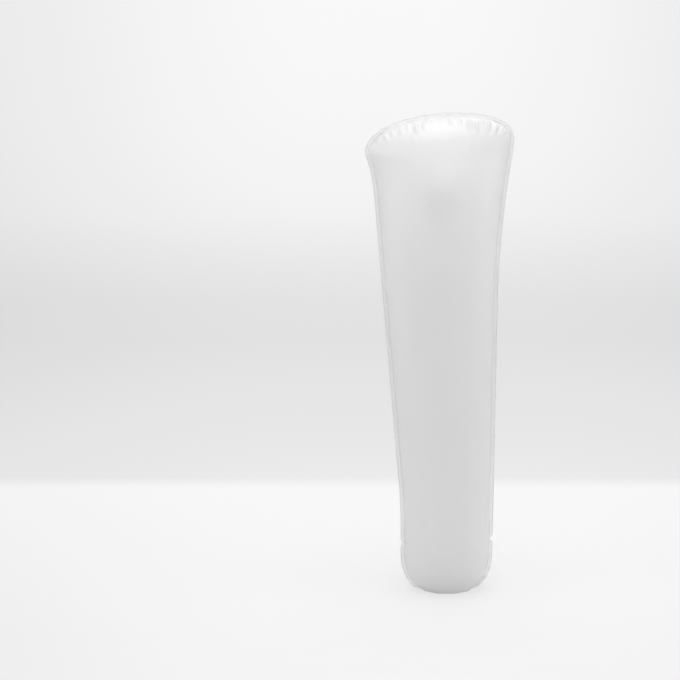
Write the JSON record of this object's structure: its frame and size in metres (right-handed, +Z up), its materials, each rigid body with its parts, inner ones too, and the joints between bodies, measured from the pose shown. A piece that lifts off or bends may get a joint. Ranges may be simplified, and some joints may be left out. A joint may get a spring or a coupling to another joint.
{
  "type": "inflatable boot shaper",
  "caption": "Air-filled boot shaper of frosted film: a tapering leg-shaped body with a welded rim and a small push-in valve with a stopper.",
  "frame": {"origin": "on the floor, below the middle of the object's bounding box", "axes": "+Z up, the body's length; +X to the shin side; +Y to the valve side"},
  "size_m": [0.1068, 0.0816, 0.36],
  "materials": {
    "film": "frosted, translucent",
    "valve": "clear, slightly blue"
  },
  "bodies": {
    "bag": {"front_panel": "film", "back_panel": "film", "valve_flange": "valve", "valve_diaphragm": "valve"},
    "stem": {"valve_stem": "valve", "check_ring": "valve"},
    "stopper": {"stopper_plug": "valve", "tether_strap": "valve"},
    "flap": {"check_flap": "valve"}
  },
  "joints": [
    {"name": "stem_pop", "type": "slide", "parent": "bag", "child": "stem", "axis": [0, 1, 0], "range_m": [0, 0.016], "deforming": ["valve_diaphragm"]},
    {"name": "stopper_pull", "type": "slide", "parent": "stem", "child": "stopper", "axis": [0, 1, 0], "range_m": [0, 0.012], "deforming": ["tether_strap"]},
    {"name": "flap_open", "type": "hinge", "parent": "stem", "child": "flap", "pos_m": [0.003, 0.02666, 0.2894], "axis": [-1, 0, 0], "range_deg": [0, 60], "stiffness_Nm_per_rad": 0.00002}
  ]
}
